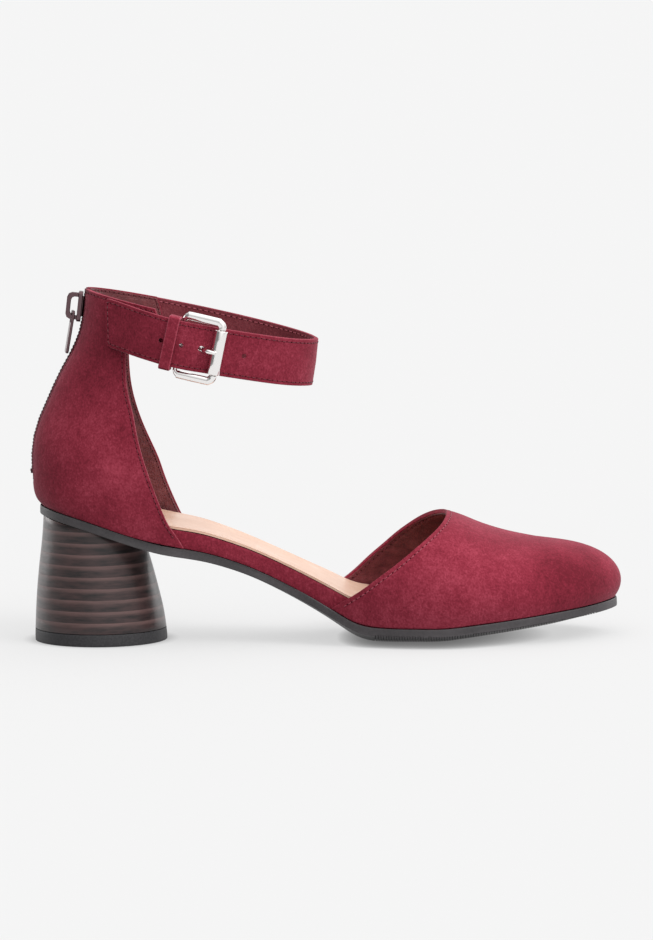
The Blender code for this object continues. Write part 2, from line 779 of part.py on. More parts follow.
inner_start = ankle_angle(STRAP_START_X, STRAP_RISE)
outer_end = ankle_angle(STRAP_TIP_X + TAIL_REACH, STRAP_RISE)
rings = [round_ring(a, INNER) for a in np.linspace(inner_start, math.pi, STRAP_STEPS[INNER])]
rings += [round_ring(a, OUTER) for a in np.linspace(math.pi, outer_end, STRAP_STEPS[OUTER])[1:]]
rings += [tip_ring(STRAP_TIP_X + d, trim) for d, trim in TAIL_END]
strap = ring_solid("ankle_strap", rings, SUEDE)


def unit(v):
    return v / np.linalg.norm(v)


def outer_frame(x, lift=0.0):
    """Point on the strap's middle line on the outer side; forward, up and outward directions."""
    middle = STRAP_DROP + STRAP_TALL / 2
    forward = unit(tail_point(x + MM, middle) - tail_point(x - MM, middle))
    up = tail_point(x, middle - MM) - tail_point(x, middle + MM)
    up = unit(up - forward * up.dot(forward))
    out = np.cross(forward, up)
    return tail_point(x, middle) + lift * out, forward, up, out


def hole_cutter(name, x, half_long, half_tall):
    """A pin that punches an oval hole through the strap."""
    p, forward, up, out = outer_frame(x, tail_lift(x) + STRAP_THICK / 2)
    turn = [2 * math.pi * k / HOLE_SIDES for k in range(HOLE_SIDES)]
    rings = [[p + forward * half_long * math.cos(a) + up * half_tall * math.sin(a) + out * d for a in turn]
             for d in (-CUT_REACH, CUT_REACH)]
    return ring_solid(name, rings, SUEDE)


cutters = [hole_cutter(f"hole_{k}", x * MM, HOLE_R, HOLE_R) for k, x in enumerate(HOLES_X)]
cutters.append(hole_cutter("prong_hole", PRONG_HOLE_X, *PRONG_HOLE))
cut(strap, cutters)

# Buckle frame: a rounded ring of bar, thin where the tab and the roller go round it
pivot, pivot_f, pivot_u, pivot_o = outer_frame(PIVOT_X, PIVOT_LIFT)
axle, axle_f, axle_u, axle_o = outer_frame(ROLLER_X, ROLLER_LIFT)
frame_f = unit(axle - pivot)
frame_u = unit(pivot_u - frame_f * pivot_u.dot(frame_f))
frame_o = np.cross(frame_f, frame_u)
frame_long = np.linalg.norm(axle - pivot)


def swept_ring(p, ahead, out, sizes, count=8):
    """An oval section of a bar at one station."""
    across = np.cross(out, ahead)
    turn = [2 * math.pi * k / count for k in range(count)]
    return [p + across * sizes[0] * math.cos(a) + out * sizes[1] * math.sin(a) for a in turn]


def frame_station(f, u, ahead, sizes):
    """A section of the frame's bar at a place in the frame's own plane."""
    p = pivot + frame_f * f + frame_u * u
    return swept_ring(p, frame_f * ahead[0] + frame_u * ahead[1], frame_o, sizes)


def frame_corner(front, upper, start, shares):
    """Sections round one corner of the frame; each share runs from the thin bar (0) to the full bar (1)."""
    centre_f = frame_long - FRAME_CORNER if front else FRAME_CORNER
    centre_u = upper * (FRAME_TALL / 2 - FRAME_CORNER)
    sections = []
    for k, share in enumerate(shares):
        angle = math.radians(start - 90 * k / CORNER_STEPS)
        sizes = [PIVOT_R + (full - PIVOT_R) * share for full in FRAME_BAR]
        sections.append(frame_station(centre_f + FRAME_CORNER * math.cos(angle),
                                      centre_u + FRAME_CORNER * math.sin(angle),
                                      (math.sin(angle), -math.cos(angle)), sizes))
    return sections


swell = [u * u * (3 - 2 * u) for u in np.linspace(0, 1, CORNER_STEPS + 1)]
full = [1] * (CORNER_STEPS + 1)
neck = ROLLER_LONG / 2 + GAP
rings = frame_corner(False, 1, 180, swell)
rings += frame_corner(True, 1, 90, full)
rings += [frame_station(frame_long, u, (0, -1), (PIVOT_R, PIVOT_R)) for u in (neck, -neck)]
rings += frame_corner(True, -1, 0, full)
rings += frame_corner(False, -1, -90, swell[::-1])
ring_solid("buckle_frame", rings, SILVER, closed=True)

# Roller on the frame's front bar
rings = []
for radius, place in ((ROLLER_R, -1), (ROLLER_R, 1), (PIVOT_R + GAP, 1), (PIVOT_R + GAP, -1)):
    rings.append(swept_ring(axle + frame_u * place * ROLLER_LONG / 2, frame_u, frame_o, (radius, radius), 14))
ring_solid("buckle_roller", rings, SILVER, closed=True)

# Prong: hooked round the frame's back bar, through the strap, its tip on the roller
hook = PIVOT_R + BAR_CLEAR + PRONG_HOOK_R
path = [(hook * math.cos(math.radians(a)), hook * math.sin(math.radians(a))) for a in PRONG_HOOK]
hook_points = len(path) + 1
path += [(f * MM, o * MM) for f, o in PRONG_PATH]
points = [pivot + pivot_f * f + pivot_o * o for f, o in path]
rest = ROLLER_R + GAP + PRONG_HOOK_R
points += [axle - frame_f * PRONG_REST[0] + frame_o * (rest - PRONG_REST[1]), axle + frame_o * rest]
rings = []
for k, p in enumerate(points):
    ahead = unit(points[min(k + 1, len(points) - 1)] - points[max(k - 1, 0)])
    radius = PRONG_HOOK_R if k < hook_points or k == len(points) - 1 else PRONG_R
    rings.append(swept_ring(p, ahead, np.cross(ahead, pivot_u), (radius, radius), 8))
ring_solid("buckle_prong", rings, SILVER)

# Tab that holds the buckle: from the ear's face round the frame's back bar
def tab_face(lift_column, radius, place):
    """One face of the tab at a place across its width (-1 to 1)."""
    drop = STRAP_DROP + STRAP_TALL / 2 - place * TAB_WIDE / 2 * math.hypot(1, COLLAR_FALL)
    face = [strap_point(ankle_angle(row[0], STRAP_RISE), OUTER, drop, row[lift_column]) for row in TAB]
    low = pivot + pivot_u * place * TAB_WIDE / 2
    for angle in TAB_WRAP:
        a = math.radians(angle)
        face.append(low + pivot_f * radius * math.cos(a) + pivot_o * radius * math.sin(a))
    return face + [low - pivot_f * TAB_RETURN - pivot_o * radius]


rings = []
for place in (-1, 0, 1):
    outside = tab_face(1, PIVOT_R + BAR_CLEAR + TAB_THICK, place)
    inside = tab_face(2, PIVOT_R + BAR_CLEAR, place)
    ends = [(outside[k] + inside[k]) / 2 + (outside[k] - outside[n]) * TAB_END for k, n in ((0, 1), (-1, -2))]
    rings.append([ends[0]] + outside + [ends[1]] + inside[::-1])
tab = ring_solid("buckle_tab", rings, SUEDE)
slot = PRONG_HOOK_R + GAP
turn = [(-1, -1), (-1, 0), (-1, 1), (1, 1), (1, 0), (1, -1)]
rings = [[pivot + pivot_f * f * TAB_SLOT + pivot_o * o * CUT_REACH + pivot_u * u * slot for f, o in turn]
         for u in (-1, 1)]
cut(tab, [ring_solid("prong_slot", rings, SUEDE)])

# Keeper loop over the strap's tail
p, forward, up, out = outer_frame(KEEPER_X)
outside = [(u * MM, o * MM) for u, o in KEEPER_OUTSIDE]
inside = [(u * MM, o * MM) for u, o in KEEPER_INSIDE]
band = outside + [(-u, o) for u, o in outside[::-1]]
lining = inside + [(-u, o) for u, o in inside[::-1]]
ends = [((band[k][0] + lining[k][0]) / 2, band[k][1]) for k in (0, -1)]
loop = [ends[0]] + band + [ends[1]] + lining[::-1]
rings = [[p + up * u + out * o + forward * f * KEEPER_WIDE / 2 for u, o in loop] for f in (-1, 1)]
ring_solid("keeper_loop", rings, SUEDE)

# Zip tape with its raised chain, set in the quarter's slit
def back_frame(rise):
    """Point on the back line with its up and outward directions."""
    up = unit(ankle(0, min(rise + 0.005, 1), OUTER) - ankle(0, rise - 0.005, OUTER))
    return ankle(0, rise, OUTER), up, np.array((-up[2], 0, up[0]))


TAPE_HALF = SLOT_HALF - 2 * GAP
zip_rows = [(ZIP_RISE + rise, chain) for rise, chain in ZIP_FOOT]
zip_rows += [(t, CHAIN_OUT) for t in rises if ZIP_PLAIN < t < ZIP_TOP] + [(ZIP_TOP, CHAIN_OUT)]
rings = []
for rise, chain in zip_rows:
    p, up, out = back_frame(rise)
    half = [(0, TAPE_DEPTH[1]), (TAPE_HALF, TAPE_DEPTH[1]), (TAPE_HALF, TAPE_DEPTH[0]),
            (CHAIN_HALF, TAPE_DEPTH[0]), (CHAIN_HALF - CHAIN_ROUND, chain), (0, chain)]
    section = half + [(-y, d) for y, d in half[-2:0:-1]]
    rings.append([p + np.array((0, y, 0)) + out * d for y, d in section])
ring_solid("zip_tape", rings, ZIP_CLOTH)

# Zip slider: a plate over the chain with a bridge for the pull
p, up, out = back_frame(SLIDER_RISE)
half_tall = SLIDER_TALL / 2
half_wide = SLIDER_WIDE / 2
outline = list(SLIDER_OUTLINE) + [(-y, u) for y, u in SLIDER_OUTLINE[-2:0:-1]]
rings = [[p + np.array((0, y * half_wide, 0)) + up * u * half_tall + out * d for y, u in outline]
         for d in (SLIDER_CLEAR, SLIDER_CLEAR + SLIDER_THICK)]
slider = ring_solid("zip_slider", rings, SILVER)
foot_d = SLIDER_CLEAR + SLIDER_THICK / 2
bow_tall = half_tall - BRIDGE_INSET
bow = [(bow_tall, foot_d)] + [(u * bow_tall, BRIDGE_OUT - d) for u, d in BRIDGE_BOW]
outside = bow + [(-u, d) for u, d in bow[::-1]]
inside = []
for u, d in outside:
    inside.append((u - math.copysign(BRIDGE_THICK * abs(u) / bow_tall, u), d))
inside = [(u, d if k in (0, len(inside) - 1) else d - BRIDGE_THICK * (d - foot_d) / (BRIDGE_OUT - foot_d))
          for k, (u, d) in enumerate(inside)]
ends = [((outside[k][0] + inside[k][0]) / 2, foot_d) for k in (0, -1)]
loop = [ends[0]] + outside + [ends[1]] + inside[::-1]
rings = [[p + up * u + out * d + np.array((0, y * BRIDGE_WIDE / 2, 0)) for u, d in loop] for y in (-1, 1)]
bridge = ring_solid("slider_bridge", rings, SILVER)
cut(slider, [bridge])
slider.modifiers[0].operation = "UNION"

# Zip pull: hangs by its cross bar inside the bridge and rests with its tip toward the zip
hinge = p + up * PULL_HINGE[0] + out * PULL_HINGE[1]
down = np.array((-math.sin(PULL_LEAN), 0, -math.cos(PULL_LEAN)))
face_out = np.array((-math.cos(PULL_LEAN), 0, math.sin(PULL_LEAN)))
width = np.array((0, math.cos(PULL_TWIST), 0)) + face_out * math.sin(PULL_TWIST)
thick = np.cross(width, down)
frame_points = list(PULL_FRAME) + [(-a, b, -c, d) for a, b, c, d in PULL_FRAME[::-1]]
half = PULL_WIDE / 2
rings = []
for outer, side in ((True, 1), (True, -1), (False, -1), (False, 1)):
    ring = []
    for w, l, window_w, window_l in frame_points:
        across = (w if outer else window_w) * half
        far = (l if outer else window_l) * MM
        ring.append(width * across + down * far + thick * side * PULL_THICK / 2)
    rings.append(ring)
pull = ring_solid("zip_pull", rings, SILVER, closed=True)
pull.location = hinge

# Stand the shoe on the floor with its middle over the origin
root = bpy.data.objects.new("shoe", None)
bpy.context.collection.objects.link(root)
pieces = [o for o in bpy.data.objects if o.type == "MESH"]
bpy.context.view_layer.update()
solid = [o for o in pieces if not o.hide_render]
corners = np.array([o.matrix_world @ Vector(c) for o in solid for c in o.bound_box])
low = corners.min(axis=0)
high = corners.max(axis=0)
root.location = (-(low[0] + high[0]) / 2, -(low[1] + high[1]) / 2, -low[2])
for piece in pieces:
    piece.parent = root
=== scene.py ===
import math

import bmesh
import bpy
import numpy as np
from mathutils import Matrix, Quaternion, Vector
from mathutils.bvhtree import BVHTree
from mathutils.kdtree import KDTree


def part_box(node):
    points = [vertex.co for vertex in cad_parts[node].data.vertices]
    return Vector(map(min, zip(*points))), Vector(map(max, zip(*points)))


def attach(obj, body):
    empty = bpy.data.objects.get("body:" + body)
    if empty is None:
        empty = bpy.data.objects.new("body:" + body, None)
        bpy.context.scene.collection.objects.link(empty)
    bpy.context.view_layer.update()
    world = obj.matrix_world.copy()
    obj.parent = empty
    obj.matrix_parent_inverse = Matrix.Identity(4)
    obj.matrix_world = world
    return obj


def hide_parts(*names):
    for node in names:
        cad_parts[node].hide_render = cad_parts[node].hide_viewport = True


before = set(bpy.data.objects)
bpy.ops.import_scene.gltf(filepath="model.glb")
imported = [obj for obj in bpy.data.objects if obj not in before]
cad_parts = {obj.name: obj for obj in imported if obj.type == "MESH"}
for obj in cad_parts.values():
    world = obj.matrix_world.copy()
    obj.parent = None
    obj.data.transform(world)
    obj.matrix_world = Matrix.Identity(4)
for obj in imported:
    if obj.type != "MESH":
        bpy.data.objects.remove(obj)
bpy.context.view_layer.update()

# Footbed
# The board that the foot stands on: stiff board bent to the arch and wrapped in the upper's suede.
# Its wrapped edge shows along the open waist; it is glued down on the sole.
MM = 0.001
MERGE = 0.02 * MM
JOIN_BEND = math.radians(40)
JOIN_SKEW = math.radians(60)
SHARP = math.radians(50)
ROUND_PASSES = 3
ROUND_MOST = 0.8 * MM
FOOTBED_EASE = 0.3 * MM
WINE = (0.265, 0.0240, 0.0455)
WINE_DARK = (0.155, 0.0115, 0.0235)
WINE_PALE = (0.405, 0.0550, 0.0900)
# palest colour of the suede's cut edges: painted highlight where the edges catch the light, and wear
WINE_EDGE_HIGHLIGHT_AND_WEAR = (0.520, 0.1050, 0.1500)
SHEEN_TINT = (1.0, 0.45, 0.54, 1.0)
NAP_SHEEN = 0.35
EDGE_SHEEN = 0.6
NAP_PATCHES = 60
NAP_STROKES = 460
NAP_FIBRES = 1300
NAP_LIE = (1.0, 1.0, 0.8)
NAP_RELIEF = 0.16 * MM
# painted light and painted shade on the suede, at given places
PAINTED_LIGHT_AND_SHADE = (
    # centre and reach in millimetres, then how much lighter the suede is painted there: painted light where
    # positive, painted shade where negative
    ((106, -20, 27), 24.0, -0.17),
    ((-93, -27, 122), 30.4, -0.17),
    ((52, -40, 15), 41.6, 0.08),
    ((-90, -34, 84), 41.6, 0.05),
)


class Wire:
    """A shader socket that takes arithmetic: every operation adds its own Math node."""

    def __init__(self, tree, socket=None):
        self.tree = tree
        self.socket = socket

    def node(self, kind, settings=None, inputs=None, out=0):
        """Any other node: its type, its settings, then the values or links of its sockets."""
        made = self.tree.nodes.new("ShaderNode" + kind)
        for name, value in (settings or {}).items():
            if name == "stops":
                ramp = made.color_ramp.elements
                ramp.remove(ramp[1])
                ramp[0].position = value[0][0]
                ramp[0].color = (*value[0][1], 1)
                for place, colour in value[1:]:
                    ramp.new(place).color = (*colour, 1)
            else:
                setattr(made, name, value)
        for name, value in (inputs or {}).items():
            if isinstance(value, Wire):
                self.tree.links.new(value.socket, made.inputs[name])
            else:
                made.inputs[name].default_value = value
        return Wire(self.tree, made.outputs[out])

    def math(self, operation, *values):
        return self.node("Math", {"operation": operation}, dict(enumerate(values)))

    def between(self, low, high):
        """A soft step from 0 at low to 1 at high."""
        settings = {"interpolation_type": "SMOOTHSTEP"}
        return self.node("MapRange", settings, {"Value": self, "From Min": low, "From Max": high})

    def mix(self, low, high):
        """A colour between two, with this value as the share of the second."""
        return self.node("Mix", {"data_type": "RGBA"}, {0: self, 6: low, 7: high}, 2)

    def ramp(self, *stops):
        return self.node("ValToRGB", {"stops": stops}, {"Fac": self})

    def noise(self, scale, detail=2.0, rough=0.5, stretch=(1, 1, 1)):
        """Cloudy values round 0.5, read at this place; the scale is in cells to the metre."""
        place = self.node("Mapping", {}, {"Vector": self, "Scale": stretch})
        inputs = {"Vector": place, "Scale": scale, "Detail": detail, "Roughness": rough}
        return self.node("TexNoise", {}, inputs)

    def __add__(self, other):
        return self.math("ADD", self, other)

    def __sub__(self, other):
        return self.math("SUBTRACT", self, other)

    def __rsub__(self, other):
        return self.math("SUBTRACT", other, self)

    def __mul__(self, other):
        return self.math("MULTIPLY", self, other)

    def __truediv__(self, other):
        return self.math("DIVIDE", self, other)

    __radd__ = __add__
    __rmul__ = __mul__


def finish(name, constants):
    """A new material: constants go straight onto its shader; returns it, the shader and its place wire."""
    material = bpy.data.materials.new(name)
    material.use_nodes = True
    shader = material.node_tree.nodes["Principled BSDF"]
    for socket, value in constants.items():
        shader.inputs[socket].default_value = value
    place = Wire(material.node_tree).node("TexCoord", out="Object")
    return material, shader, place


def feed(shader, **wires):
    """Links wires to a shader's sockets; a name's underscore stands for its space."""
    for name, wire in wires.items():
        wire.tree.links.new(wire.socket, shader.inputs[name.replace("_", " ")])


def relief(height, depth, strength=1.0):
    """A bump of that depth in metres."""
    return height.node("Bump", {}, {"Strength": strength, "Distance": depth, "Height": height})


def nap(name, dark, middle, pale, sheen=NAP_SHEEN):
    """Short brushed nap: fine fibrous grain and cloudy patches, with painted shade and painted light at the
    listed places.
    """
    constants = {"Specular IOR Level": 0.12, "Sheen Weight": sheen, "Sheen Roughness": 0.4,
                 "Sheen Tint": SHEEN_TINT}
    material, shader, place = finish(name, constants)
    patches = place.noise(NAP_PATCHES, 3, 0.55)
    strokes = place.noise(NAP_STROKES, 3, 0.6, NAP_LIE)
    fibres = place.noise(NAP_FIBRES, 2, 0.65, NAP_LIE)
    tone = patches * 0.36 + strokes * 0.26 + fibres * 0.46
    # painted shade at the toe and beside the strap's tail, painted light low on the vamp and the quarter
    for centre, reach, painted_share in PAINTED_LIGHT_AND_SHADE:
        ends = {0: place, 1: Vector(centre) * MM}
        away = place.node("VectorMath", {"operation": "DISTANCE"}, ends, "Value")
        tone = tone + (1 - away.between(0, reach * MM)) * painted_share
    feed(shader, Base_Color=tone.ramp((0.36, dark), (0.54, middle), (0.72, pale)),
         Roughness=0.80 + fibres * 0.2, Normal=relief(fibres + strokes * 0.8, NAP_RELIEF))
    return material


suede = nap("suede", WINE_DARK, WINE, WINE_PALE)
# the rounded cut edges take a paler suede: painted highlight along the edges, and wear
suede_edge_highlight = nap("suede_edge_highlight", WINE, WINE_PALE, WINE_EDGE_HIGHLIGHT_AND_WEAR, EDGE_SHEEN)


def coordinates(mesh):
    """A mesh's points as rows of numbers."""
    flat = np.zeros(len(mesh.vertices) * 3, np.float32)
    mesh.vertices.foreach_get("co", flat)
    return flat.reshape(-1, 3).astype(float)


def merged(node):
    """A copy of a CAD node with its loose triangles joined into one mesh of quads."""
    bm = bmesh.new()
    bm.from_mesh(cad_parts[node].data)
    bmesh.ops.remove_doubles(bm, verts=bm.verts, dist=MERGE)
    bmesh.ops.join_triangles(bm, faces=bm.faces, angle_face_threshold=JOIN_BEND,
                             angle_shape_threshold=JOIN_SKEW)
    for face in bm.faces:
        face.material_index = 0
    return bm


def sharp_edges(bm):
    """The edges between faces that meet at a sharp angle."""
    return [e for e in bm.edges if e.is_manifold and e.calc_face_angle() > SHARP]


def ease(bm, width, segments=2, slot=0):
    """Rounds a mesh's sharp edges; the rounded strips may take a material slot of their own."""
    strips = bmesh.ops.bevel(bm, geom=sharp_edges(bm), offset=width, offset_type="OFFSET", affect="EDGES",
                             segments=segments, profile=0.5, material=-1, clamp_overlap=True)
    if slot:
        for face in strips["faces"]:
            face.material_index = slot


def formed(node, levels=2):
    """A smooth copy of a CAD node: subdivided, sharp edges kept, its surface on the solid's own points."""
    bm = merged(node)
    crease = bm.edges.layers.float.new("crease_edge")
    for edge in sharp_edges(bm):
        edge[crease] = 1
    mesh = bpy.data.meshes.new(node)
    bm.to_mesh(mesh)
    pattern = bpy.data.objects.new(node, mesh)
    bpy.context.collection.objects.link(pattern)
    rounder = pattern.modifiers.new("round", "SUBSURF")

    def shown(level):
        rounder.levels = level
        rounder.render_levels = level
        bpy.context.view_layer.update()
        return pattern.evaluated_get(bpy.context.evaluated_depsgraph_get())

    rest = coordinates(mesh)
    for _ in range(ROUND_PASSES):
        move = rest - coordinates(shown(1).data)[:len(rest)]
        far = np.linalg.norm(move, axis=1)[:, None]
        move *= np.minimum(1, ROUND_MOST / np.maximum(far, MERGE))
        mesh.vertices.foreach_set("co", (coordinates(mesh) + move).astype(np.float32).ravel())
        mesh.update()
    smooth = bpy.data.meshes.new_from_object(shown(levels))
    bpy.data.objects.remove(pattern)
    bm.clear()
    bm.from_mesh(smooth)
    return bm


def piece(name, bm, materials, body="shoe", node=None, flat=False):
    """A finished mesh as a piece of the shoe; it may stand for a CAD node, and keep its flat faces flat."""
    mesh = bpy.data.meshes.new(name)
    bm.to_mesh(mesh)
    bm.free()
    mesh.shade_smooth()
    for material in materials:
        mesh.materials.append(material)
    made = bpy.data.objects.new(name, mesh)
    bpy.context.collection.objects.link(made)
    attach(made, body)
    if node:
        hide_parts(node)
    if flat:
        made.modifiers.new("flat faces", "WEIGHTED_NORMAL")
    return made


bm = formed("footbed")
ease(bm, FOOTBED_EASE)
piece("footbed_wrap", bm, [suede], node="footbed")

# Insole
# The sock that covers the footbed: thin tan leather with a light glaze and a grain that runs lengthwise.
# It is glued down, a hair short of the footbed's edge.
TAN = (0.81, 0.525, 0.385)
TAN_PALE = (0.88, 0.65, 0.53)
TAN_DEEP = (0.735, 0.440, 0.295)
SOCK_PORES = 1900
SOCK_GRAIN = 300
SOCK_LIE = (0.18, 1.0, 1.0)
SOCK_SHADE = 38
SOCK_RELIEF = 0.06 * MM
SOCK_EASE = 0.25 * MM

tan_leather, shader, place = finish("tan_leather", {"Specular IOR Level": 0.5, "Coat Roughness": 0.25,
                                                    "Coat Weight": 0.3})
pores = place.noise(SOCK_PORES, 2, 0.6)
grain = place.noise(SOCK_GRAIN, 4, 0.6, SOCK_LIE)
shade = place.noise(SOCK_SHADE, 3, 0.5)
tone = shade * 0.45 + grain * 0.55
feed(shader, Base_Color=tone.ramp((0.30, TAN_DEEP), (0.52, TAN), (0.74, TAN_PALE)),
     Roughness=0.34 + grain * 0.2, Normal=relief(pores * 0.6 + grain, SOCK_RELIEF, 0.6))

bm = formed("insole")
ease(bm, SOCK_EASE)
piece("sock", bm, [tan_leather], node="insole")

# Vamp
# The closed front of the upper: suede lasted over the toe, its throat edge folded in and stitched down.
# A few soft hollows stay where the last let go of it, and the fold is pulled in along its seam.
FOLD = 0.55 * MM
SHELL_LEVELS = 3
OUTER = 0
INNER = 1
SEAM_INSET = 2.0 * MM
SOLE_CLEAR = 3.4 * MM
PUCKER_HALF = 1.5 * MM
PUCKER_DEEP = 0.16 * MM
SHORT_RUN = 60 * MM
VAMP_HOLLOWS = (
    # from, to, half width, depth; all in millimetres
    ((10, -36, 15), (38, -30, 36), 7.0, 0.45),
    ((8, 32, 16), (36, 28, 36), 7.0, 0.45),
    ((60, -40, 17), (76, -28, 34), 9.0, 0.35),
    ((58, 40, 17), (78, 30, 34), 9.0, 0.35),
    ((98, -12, 34), (104, 16, 32), 8.0, 0.20),
)


def press(bm, rows):
    """Pushes soft troughs into a shell, both its faces together; a negative depth raises a ridge."""
    surface = BVHTree.FromBMesh(bm)
    for start, end, half, depth in rows:
        start = Vector(start) * MM
        run = Vector(end) * MM - start
        normal = surface.find_nearest(start + run / 2)[1]
        for v in bm.verts:
            share = min(max((v.co - start).dot(run) / run.length_squared, 0), 1)
            gap = (v.co - start - run * share).length / (half * MM)
            v.co -= normal * (depth * MM * math.exp(-gap * gap))
    bm.normal_update()


def sides(bm):
    """The faces of a mesh in patches bounded by its sharp edges, the largest patch first."""
    border = set(sharp_edges(bm))
    left = set(bm.faces)
    patches = []
    while left:
        patch = {left.pop()}
        front = list(patch)
        while front:
            for edge in front.pop().edges:
                if edge not in border:
                    fresh = [f for f in edge.link_faces if f in left]
                    left.difference_update(fresh)
                    patch.update(fresh)
                    front.extend(fresh)
        patches.append(patch)
    return sorted(patches, key=lambda patch: -sum(f.calc_area() for f in patch))


def only_side(bm, side):
    """A copy of a shell with just its outer or its inner face."""
    one = bm.copy()
    patch = sides(one)[side]
    bmesh.ops.delete(one, geom=[f for f in one.faces if f not in patch], context="FACES")
    return one


def open_edge(bm):
    """The boundary lines of an open sheet, each as a list of its points in order, the same each run."""
    left = {e for e in bm.edges if e.is_boundary}
    lines = []
    while left:
        edge = min(left, key=lambda e: tuple(e.verts[0].co + e.verts[1].co))
        left.discard(edge)
        ring = sorted(edge.verts, key=lambda v: tuple(v.co))
        while edge:
            edge = next((e for e in ring[-1].link_edges if e in left), None)
            if edge:
                left.discard(edge)
                ring.append(edge.other_vert(ring[-1]))
        lines.append([v.co.copy() for v in ring])
    return lines


def seam_runs(bm, side, keep, inset=SEAM_INSET):
    """Lines that run an inset inside the edges of a shell's face, wherever keep says yes to a point."""
    one = only_side(bm, side)
    rim = bmesh.ops.inset_region(one, faces=one.faces, thickness=inset, use_boundary=True,
                                 use_even_offset=True)
    bmesh.ops.delete(one, geom=rim["faces"], context="FACES")
    runs = []
    for line in open_edge(one):
        wanted = [keep(p) for p in line]
        first = wanted.index(False) if False in wanted else 0
        turned = line[first:] + line[:first] + [line[0]]
        taken = wanted[first:] + wanted[:first] + [False]
        part = []
        for p, good in zip(turned, taken):
            if good:
                part.append(p)
            elif part:
                runs.append(np.array(part))
                part = []
    one.free()
    return [run for run in runs if np.linalg.norm(np.diff(run, axis=0), axis=1).sum() > SHORT_RUN]


def pucker(bm, runs):
    """Draws the surface in along its seams."""
    points = [p for run in runs for p in run]
    tree = KDTree(len(points))
    for k, p in enumerate(points):
        tree.insert(p, k)
    tree.balance()
    for v in bm.verts:
        gap = tree.find(v.co)[2] / PUCKER_HALF
        if gap < 1:
            v.co -= v.normal * (PUCKER_DEEP * (1 - gap * gap) ** 2)
    bm.normal_update()


sole_surface = BVHTree.FromBMesh(merged("outsole"))


def off_the_sole(p):
    """Whether a point is clear of the sole's edge, where no seam runs."""
    return sole_surface.find_nearest(p)[3] > SOLE_CLEAR


vamp = formed("vamp", SHELL_LEVELS)
press(vamp, VAMP_HOLLOWS)
vamp_seams = {side: seam_runs(vamp, side, off_the_sole) for side in (OUTER, INNER)}
pucker(vamp, vamp_seams[OUTER] + vamp_seams[INNER])
bm = vamp.copy()
ease(bm, FOLD)
piece("vamp_suede", bm, [suede], node="vamp")

# Vamp lining
# Thin wine-brown leather inside the vamp, glued to the suede and stitched in along the throat.
# It is glossy and finely wrinkled.
LINING = (0.185, 0.036, 0.042)
LINING_PALE = (0.285, 0.078, 0.084)
LINING_DARK = (0.105, 0.019, 0.023)
LINING_THICK = 0.3 * MM
LINING_LIFT = 0.08 * MM
LINING_CELLS = 900
LINING_FOLDS = 260
FOLDS_LIE = (1.0, 0.5, 1.6)
LINING_SHADE = 60
LINING_RELIEF = 0.30 * MM
THROAT_RIM = 1.6 * MM
RIM_MOST = 0.8

lining_leather, shader, place = finish("lining_leather", {"Specular IOR Level": 0.45})
cells = place.node("TexVoronoi", {"feature": "DISTANCE_TO_EDGE"}, {"Vector": place, "Scale": LINING_CELLS})
folds = place.noise(LINING_FOLDS, 3, 0.55, FOLDS_LIE)
shade = place.noise(LINING_SHADE, 3, 0.5)
tone = shade * 0.5 + folds * 0.5
feed(shader, Base_Color=tone.ramp((0.34, LINING_DARK), (0.52, LINING), (0.72, LINING_PALE)),
     Roughness=0.26 + folds * 0.25, Normal=relief(folds * 1.4 + cells * 0.6, LINING_RELIEF))


def line_inside(shell, name, short):
    """A thin sheet glued over the inner face of a shell; it stops about that far short of the edge."""
    bm = only_side(shell, INNER)
    moves = []
    for v in bm.verts:
        if v.is_boundary:
            inside = [e.other_vert(v).co for e in v.link_edges if not e.is_boundary]
            inward = sum(inside, Vector()) / len(inside) - v.co if inside else Vector()
            moves.append((v, inward.normalized() * min(short, inward.length * RIM_MOST)))
    for v, move in moves:
        v.co += move
    bm.normal_update()
    for v in bm.verts:
        v.co += v.normal * LINING_LIFT
    sheet = piece(name, bm, [lining_leather])
    wall = sheet.modifiers.new("wall", "SOLIDIFY")
    wall.thickness = LINING_THICK
    wall.offset = 1


line_inside(vamp, "vamp_lining", THROAT_RIM)

# Vamp stitching
# One row of twisted thread along the folded throat, wine inside and rose outside, where the rose is a
# painted highlight for the light the stitches catch.
# Each stitch sits in the groove that it pulls, with a dark bead at its end: painted shade for the needle's
# hole.
STITCH = 2.45 * MM
STITCH_HALF = 0.86 * MM
THREAD_R = 0.27 * MM
HOLE_R = 0.32 * MM
HOLE_FLAT = 0.6
BEAD_SIDES = 6
BEAD_ROWS = 4
THREAD_TWIST = 2600
HOLE_FUZZ = 900
THREAD_DARK = (0.100, 0.0100, 0.0190)
THREAD_WINE = (0.205, 0.0205, 0.0385)
# the rose thread's colours: on the vamp's outside a painted highlight, on the strap's rose lining the
# thread's own colour
THREAD_ROSE = (0.315, 0.052, 0.083)
THREAD_PALE = (0.430, 0.105, 0.135)
# colours of the dark beads at the stitch ends: painted shade for the needle holes
HOLE_SHADE_DARK = (0.030, 0.003, 0.006)
HOLE_SHADE_PALE = (0.055, 0.006, 0.011)


def twisted(name, low, high):
    """Glossy twisted thread."""
    material, shader, place = finish(name, {"Specular IOR Level": 0.4})
    twist = place.noise(THREAD_TWIST, 2, 0.6)
    feed(shader, Base_Color=twist.ramp((0.35, low), (0.65, high)), Roughness=0.42 + twist * 0.2)
    return material


wine_thread = twisted("wine_thread", THREAD_DARK, THREAD_WINE)
# rose thread: painted highlight on the vamp's outer stitches, the thread's own colour on the strap's lining
rose_and_highlight_thread = twisted("rose_and_highlight_thread", THREAD_ROSE, THREAD_PALE)
